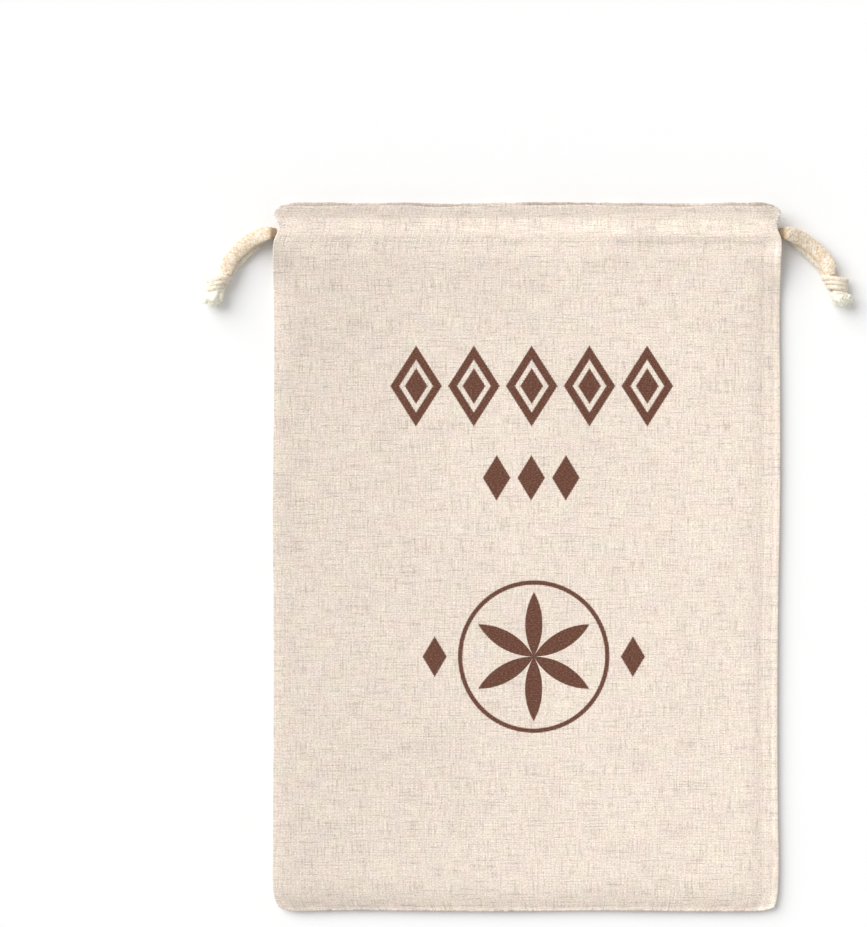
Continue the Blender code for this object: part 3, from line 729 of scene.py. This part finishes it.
def free_route(side, from_front):
    """Middle of one free end, from the casing to the knot."""
    pairs = FREE_PAIRS[side]
    outer = -1.0 if side == "left" else 1.0
    route = []
    for i, pair in enumerate(pairs):
        before, after = pairs[max(i - 1, 0)], pairs[min(i + 1, len(pairs) - 1)]
        along = Vector((after.x - before.x, after.y - before.y, 0)).normalized()
        outer_side = Vector((-along.y, along.x, 0)) * outer
        height = pair.height if from_front else FLOOR_CORD
        way = FRONT_OUT if from_front else -1.0
        route.append(Vector((pair.x, pair.y, height)) + outer_side * pair.half_apart * way)
    route.append(route[-1] + (route[-1] - route[-2]).normalized() * INTO_KNOT)
    route.insert(0, route[0] - Vector((outer * INTO_CASING, 0, 0)))
    return route


def braided(name, route, sections, level, sides=48, plain=None, slit_shadow=0.0):
    """A braided string as one closed tube. sections gives the width and thickness at each point, level
    the way that its width lies, or None for level with the floor, plain where it has no braid, and the
    last the length at its start that is painted darker, a painted shadow where it leaves the casing's slit."""
    far = 0.0
    points, sinks = [], []
    for i, centre in enumerate(route):
        before, after = route[max(i - 1, 0)], route[min(i + 1, len(route) - 1)]
        forward = (after - before).normalized()
        across = level if level else Vector((0, 0, 1)).cross(forward)
        across = (across - forward * across.dot(forward)).normalized()
        up = forward.cross(across)
        far += (centre - route[i - 1]).length if i else 0.0
        wide, thick = sections[i]
        depth = BRAID_DEPTH * (1.0 if plain is None else 1.0 - plain[i])
        # How much of the painted slit shadow falls here, fading out along the string
        painted_light_share = float(np.clip((slit_shadow - far) / SLIT_SHADOW_FADE, 0.0, 1.0))
        for k in range(sides):
            angle = 2 * math.pi * k / sides
            a = math.sin(BRAID_STRANDS * angle / 2 + math.pi * far / BRAID_PITCH)
            b = math.sin(BRAID_STRANDS * angle / 2 - math.pi * far / BRAID_PITCH)
            over = a * b
            relief = 0.5 * (abs(a) + abs(b)) + 0.5 * over * (abs(a) - abs(b))
            sunk = depth * (1.0 - relief)
            # Crease: 1 in the braid's hollows for painted shade, 2 at the start for the painted slit shadow
            sinks.append((1.0 - relief) * (1.0 - painted_light_share) + 2.0 * painted_light_share)
            point = (centre + across * (wide / 2 - sunk) * math.cos(angle)
                     + up * (thick / 2 - sunk) * math.sin(angle))
            point.z = max(point.z, FLOOR_GAP)
            points.append(point)
    faces = []
    for i in range(len(route) - 1):
        for k in range(sides):
            j = (k + 1) % sides
            faces.append((i * sides + k, i * sides + j, (i + 1) * sides + j, (i + 1) * sides + k))
    last = (len(route) - 1) * sides
    faces.append(tuple(reversed(range(sides))))
    faces.append(tuple(last + k for k in range(sides)))
    piece = mesh_piece(name, points, faces)
    creases = piece.data.attributes.new("Crease", "FLOAT", "POINT")
    creases.data.foreach_set("value", sinks)
    return piece


# The front strand's cotton is browner, partly for its own tan and partly as painted shade; the back strand,
# the knots and the fuzz have the paler one
tan_and_shaded_cotton = cotton("Braided cotton", (1.0, 0.92, 0.79), (0.76, 0.56, 0.36), 0.46)
paler_cotton = cotton("Paler braided cotton", (0.98, 0.89, 0.75), (0.64, 0.48, 0.31), 0.06)
BRAID_STEP = 0.00038
ROUND_FROM = 0.010
KNOT_SQUEEZE = 0.75
SQUEEZE_FROM = 0.006
FUZZ_FIBRES = 260
SOFT_CORD = {"front": (0.0094, 0.0040), "back": (0.0070, 0.0046)}


def fuzz(name, route, sections):
    """Fine fibres that stand off a string's surface."""
    chance = random.Random(f"fuzz {name}")
    tubes = []
    for i in range(FUZZ_FIBRES):
        k = chance.randrange(8, len(route) - 12)
        forward = (route[k + 1] - route[k]).normalized()
        across = Vector((0, 0, 1)).cross(forward).normalized()
        up = forward.cross(across)
        angle = 2 * math.pi * chance.random()
        away = across * math.cos(angle) + up * math.sin(angle)
        reach = 0.45 * (sections[k][0] * abs(math.cos(angle)) + sections[k][1] * abs(math.sin(angle)))
        start = route[k] + away * reach * 0.9
        lean = forward * (chance.random() - 0.5) * 3.0
        curl = Vector([chance.random() - 0.5 for axis in range(3)])
        long = 0.0005 + 0.0008 * chance.random()
        tubes.append(([start + (away * 0.7 + lean * share + curl * share).normalized() * long * share
                       for share in (0.0, 0.4, 0.7, 1.0)], [0.00008, 0.00008, 0.00007, 0.00003], 3))
    return tubes


free_ends = {}
for side in ("left", "right"):
    for casing in ("front", "back"):
        route = even_route(free_route(side, casing == "front"), BRAID_STEP)
        sections = []
        for i in range(len(route)):
            full = float(soft_step(0.3 + 0.7 * i * BRAID_STEP / ROUND_FROM))
            full -= KNOT_SQUEEZE * float(soft_step((i - len(route)) * BRAID_STEP / SQUEEZE_FROM + 1.0))
            sections.append(tuple(pressed + full * (loose - pressed)
                                  for pressed, loose in zip(FLAT_CORD, SOFT_CORD[casing])))
        piece = braided(f"string_end_{side}_{casing}_braid", route, sections, None, slit_shadow=SLIT_SHADOW_LONG)
        piece.data.materials.append(tan_and_shaded_cotton if casing == "front" else paler_cotton)
        fluff = many_tubes(f"string_end_{side}_{casing}_fuzz", fuzz(f"{side} {casing}", route, sections))
        fluff.data.materials.append(paler_cotton)
        for part in (piece, fluff):
            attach(part, "root")
            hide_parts(f"string_end_{side}_{casing}")
        free_ends[side, casing] = (piece, fluff, route)


# Hidden runs of the strings. The same braid pressed flat in the casings. Each goes in at its own side,
# turns at the far one and comes back through the other casing, and they cross once in each.

LOW_TRACK = 0.2006
HIGH_TRACK = 0.2063
FRONT_CORD = 0.0128
BACK_CORD = 0.0025
CROSSED_CORD = 0.0015
GAP = 0.0003
CROSSING_SWERVE = 0.012
CROSSING_CLIMB = 0.025
RUN_END = 0.1554
LOOP_REACH = 0.1520
LOOP_RADIUS = 0.0019
LOOP_STEPS = 8
CASING_END = 0.147
SHOWS_FROM = CASING_END - 0.004
BRAID_FADE = 0.004
SHOWN_STEP = 0.0005
HIDDEN_STEP = 0.003


def run_point(x, tie, crossing, level, over):
    """Middle and thickness of a string at a place in the casing, as it passes the other string."""
    swerve = float(soft_step((x - crossing + CROSSING_SWERVE) / (2 * CROSSING_SWERVE)))
    y = LOW_TRACK + (HIGH_TRACK - LOW_TRACK) * (swerve if tie < 0 else 1.0 - swerve)
    near = float(soft_step((CROSSING_CLIMB - abs(x - crossing)) / (CROSSING_CLIMB - CROSSING_SWERVE)))
    slack = (FLAT_CORD[1] - CROSSED_CORD) / 2
    z = level + near * ((CROSSED_CORD + GAP - slack) if over else -slack)
    return Vector((x, y, z)), FLAT_CORD[1] + (CROSSED_CORD - FLAT_CORD[1]) * near


def run_route(tie):
    """A string's run through the front casing, round the far end and back, with its thicknesses."""
    places = [-CASING_END + 2 * CASING_END * i / 100 for i in range(101)]
    front = [run_point(x, tie, FRONT_CROSSING, FRONT_CORD, tie < 0) for x in places]
    back = [run_point(x, tie, BACK_CROSSING, BACK_CORD, tie > 0) for x in reversed(places)]
    if tie > 0:
        front.reverse()
        back.reverse()
    turn = []
    for level, first in ((FRONT_CORD, 90), (BACK_CORD, 0)):
        centre = level - LOOP_RADIUS if first else level + LOOP_RADIUS
        for step in range(LOOP_STEPS + 1):
            angle = math.radians(first - 90 * step / LOOP_STEPS)
            x = LOOP_REACH - LOOP_RADIUS + LOOP_RADIUS * math.cos(angle)
            turn.append((Vector((-tie * x, HIGH_TRACK, centre + LOOP_RADIUS * math.sin(angle))),
                         FLAT_CORD[1]))
    ends = [(Vector((tie * RUN_END, LOW_TRACK, level)), FLAT_CORD[1]) for level in (FRONT_CORD, BACK_CORD)]
    return [ends[0]] + front + turn + back + [ends[1]]


for tie, side in ((-1, "left"), (1, "right")):
    stops = run_route(tie)
    route = [point for point, _ in stops]
    far = np.array([0.0] + [(b - a).length for a, b in zip(route, route[1:])]).cumsum()
    shows = [abs(point.x) > SHOWS_FROM for point in route]
    at = [0.0]
    while at[-1] < far[-1]:
        fine = shows[int(np.clip(np.searchsorted(far, at[-1]), 0, len(far) - 1))]
        at.append(at[-1] + (SHOWN_STEP if fine else HIDDEN_STEP))
    at[-1] = far[-1]
    places = np.array([tuple(point) for point in route])
    fine_route = [Vector(p) for p in zip(*(smooth_curve(far, places[:, k], np.array(at)) for k in range(3)))]
    thick = np.interp(at, far, [value for _, value in stops])
    plain = [float(soft_step((CASING_END - abs(point.x)) / BRAID_FADE)) for point in fine_route]
    piece = braided(f"string_run_{side}_braid", fine_route, [(FLAT_CORD[0], t) for t in thick],
                    Vector((0, 1, 0)), 32, plain)
    piece.data.materials.append(tan_and_shaded_cotton)
    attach(piece, "root")
    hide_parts(f"string_run_{side}")


# Knots. Each pair of ends is tied in one tight overhand knot, whose turns of braid lie slanting side
# by side, and the cut ends below it have frayed out.

Slice = namedtuple("Slice", "y left right height")
KNOTS = {
    "left": (
        Slice(0.1546, -0.1980, -0.1938, 0.0060), Slice(0.1562, -0.2004, -0.1912, 0.0096),
        Slice(0.1588, -0.2015, -0.1892, 0.0114), Slice(0.1616, -0.2012, -0.1884, 0.0112),
        Slice(0.1632, -0.1994, -0.1886, 0.0104), Slice(0.1646, -0.1996, -0.1877, 0.0106),
        Slice(0.1676, -0.1996, -0.1864, 0.0116), Slice(0.1709, -0.1995, -0.1843, 0.0120),
        Slice(0.1746, -0.1990, -0.1828, 0.0120), Slice(0.1756, -0.1970, -0.1836, 0.0112),
    ),
    "right": (
        Slice(0.1544, 0.1938, 0.1978, 0.0060), Slice(0.1561, 0.1908, 0.2008, 0.0096),
        Slice(0.1586, 0.1893, 0.2028, 0.0114), Slice(0.1609, 0.1887, 0.2022, 0.0112),
        Slice(0.1628, 0.1886, 0.1994, 0.0104), Slice(0.1642, 0.1870, 0.1992, 0.0106),
        Slice(0.1672, 0.1853, 0.1993, 0.0116), Slice(0.1704, 0.1836, 0.1993, 0.0120),
        Slice(0.1742, 0.1825, 0.1991, 0.0120), Slice(0.1752, 0.1836, 0.1976, 0.0112),
    ),
}
WRAP = (0.0038, 0.0030)
WRAP_TURNS = {"left": 3.2, "right": 3.9}
WRAP_SLANT = 0.0017
WRAP_ENDS = {"left": (0.1744, 0.1662), "right": (0.1744, 0.1636)}
WRAP_STEP = 0.0004
LOCKS = 46
FRAYED_FIBRES = 160
TUFT_END = 0.1556
TUFT_TUCKED = 0.0015
BODY_WIDE = 0.88


def knot_section(side, y):
    left = float(read_table(KNOTS[side], y, "left"))
    right = float(read_table(KNOTS[side], y, "right"))
    height = float(read_table(KNOTS[side], y, "height"))
    return (left + right) / 2, (right - left) / 2, height


def wrap_route(side):
    """The turns of braid round a knot, from above its top down to the frayed ends."""
    way = -1.0 if side == "left" else 1.0
    top, bottom = WRAP_ENDS[side]
    count = WRAP_TURNS[side]
    steps = round(count * 40)
    route = []
    for i in range(steps + 1):
        share = i / steps
        angle = math.radians(200) + 2 * math.pi * count * share
        y = top + (bottom - top) * share
        x, half, height = knot_section(side, y)
        tuck = 1.0 - 0.35 * float(soft_step(abs(share - 0.5) * 14 - 6.0))
        loose = 1.0 + 0.16 * noise.noise(Vector((share * 9.0, way * 3.1, 0.5)))
        reach = (half - WRAP[1] / 2) * tuck * loose
        rise = (height / 2 - WRAP[1] / 2) * tuck
        y += 0.0009 * noise.noise(Vector((share * 7.0, way * 5.3, 2.5)))
        route.append(Vector((x + way * reach * math.cos(angle), y - WRAP_SLANT * math.cos(angle),
                             height / 2 + rise * math.sin(angle))))
    return route


def tuft(name, side):
    """The frayed ends: a full soft body, locks packed side by side round it, and fine fibres that curl
    out of them."""
    chance = random.Random(f"frayed {side}")
    start, end = WRAP_ENDS[side][1] + TUFT_TUCKED, TUFT_END
    body, thick = [], []
    for share in (0.0, 0.15, 0.35, 0.6, 0.8, 0.92, 0.98, 1.0):
        y = start + (end - start) * share
        x, half, height = knot_section(side, y)
        body.append(Vector((x, y, height / 2)))
        thick.append(BODY_WIDE * min(half, height / 2) * math.sqrt(max(0.02, 1.0 - share ** 4)))
    tubes = [(body, thick, 28)]
    for i in range(LOCKS):
        angle = 2 * math.pi * (i * 0.382 + 0.1 * chance.random())
        out = math.sqrt((i + 0.5) / LOCKS)
        start_y = start - 0.0020 * chance.random()
        end_y = end + 0.0003 + 0.0016 * out ** 2 + 0.0020 * chance.random()
        route = []
        for share in (0.0, 0.35, 0.7, 1.0):
            y = start_y + (end_y - start_y) * share
            x, half, height = knot_section(side, y)
            spread = out * (0.62 + 0.34 * share)
            swing = angle + (chance.random() - 0.5) * 0.7 * share
            route.append(Vector((x + (half - 0.0006) * spread * math.cos(swing), y,
                                 max(0.0016, height / 2 + (height / 2 - 0.0005) * spread * math.sin(swing)))))
        route = even_route(route, 0.0005)
        thick = 0.0014 + 0.0008 * chance.random()
        radii = [thick * math.sqrt(max(0.05, 1.0 - (max(0.0, k / (len(route) - 1) - 0.5) / 0.52) ** 2))
                 * (1.0 + 0.35 * noise.noise(point * 1500)) for k, point in enumerate(route)]
        tubes.append((route, radii, 9))
    for i in range(FRAYED_FIBRES):
        angle = 2 * math.pi * chance.random()
        share = chance.random()
        y = end + 0.0004 + (start - end - 0.0019) * share
        x, half, height = knot_section(side, y)
        root = Vector((x + half * 0.9 * math.cos(angle), y, height / 2 * (1 + 0.9 * math.sin(angle))))
        away = Vector((math.cos(angle), -0.5 - chance.random() + 1.4 * share, math.sin(angle)))
        curl = Vector([chance.random() - 0.5 for axis in range(3)])
        long = 0.0008 + 0.0012 * chance.random()
        route = [root + away.normalized() * long * part + curl * long * 1.3 * part * part
                 for part in (0.0, 0.35, 0.7, 1.0)]
        tubes.append((route, [0.00013, 0.00012, 0.0001, 0.00004], 3))
    return many_tubes(name, tubes)


frayed_cotton = cotton("Frayed cotton", (1.0, 0.96, 0.83), (1.0, 0.91, 0.68), 0.0)
for side in ("left", "right"):
    turns = even_route(wrap_route(side), WRAP_STEP)
    wraps = braided(f"knot_{side}_turns", turns, [WRAP] * len(turns), Vector((0, 1, 0)), 40)
    wraps.data.materials.append(paler_cotton)
    frayed = tuft(f"knot_{side}_frayed_ends", side)
    frayed.data.materials.append(frayed_cotton)
    for piece in (wraps, frayed):
        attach(piece, "root")
        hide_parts(f"knot_{side}")
    for casing in ("front", "back"):
        piece, fluff, route = free_ends[side, casing]


# Floor, a plain pale sheet of card under the bag.

bpy.ops.mesh.primitive_plane_add(size=3.0, location=(-0.058, 0.058, -0.0002))
floor = bpy.context.object
floor.name = "floor"
card = bpy.data.materials.new("Pale card")
card.use_nodes = True
card.node_tree.nodes["Principled BSDF"].inputs["Base Color"].default_value = (0.95, 0.95, 0.95, 1)
card.node_tree.nodes["Principled BSDF"].inputs["Roughness"].default_value = 1.0
card.node_tree.nodes["Principled BSDF"].inputs["Specular IOR Level"].default_value = 0.0
floor.data.materials.append(card)


# Light: a broad soft lamp from the upper left, and even light from all round.

sun = bpy.data.lights.new("Broad lamp", "SUN")
sun.energy = 2.75
sun.angle = math.radians(54)
lamp = bpy.data.objects.new("Broad lamp", sun)
lamp.rotation_euler = Vector((-0.60, 0.49, 0.63)).to_track_quat("Z", "Y").to_euler()
bpy.context.scene.collection.objects.link(lamp)
sky = bpy.data.worlds.new("Even light")
sky.use_nodes = True
sky.node_tree.nodes["Background"].inputs["Color"].default_value = (1, 1, 1, 1)
sky.node_tree.nodes["Background"].inputs["Strength"].default_value = 0.50
bpy.context.scene.world = sky


# Camera, straight above the table.

CAMERA_HIGH = 2.4
SEEN_WIDE = 0.53843
view = bpy.data.cameras.new("Camera")
view.sensor_fit = "HORIZONTAL"
view.sensor_width = 36.0
view.lens = 36.0 * CAMERA_HIGH / SEEN_WIDE
view.clip_end = 10.0
eye = bpy.data.objects.new("Camera", view)
eye.location = (-0.05825, 0.0579, CAMERA_HIGH + 0.008)
bpy.context.scene.collection.objects.link(eye)
bpy.context.scene.camera = eye
bpy.context.scene.view_settings.view_transform = "Standard"
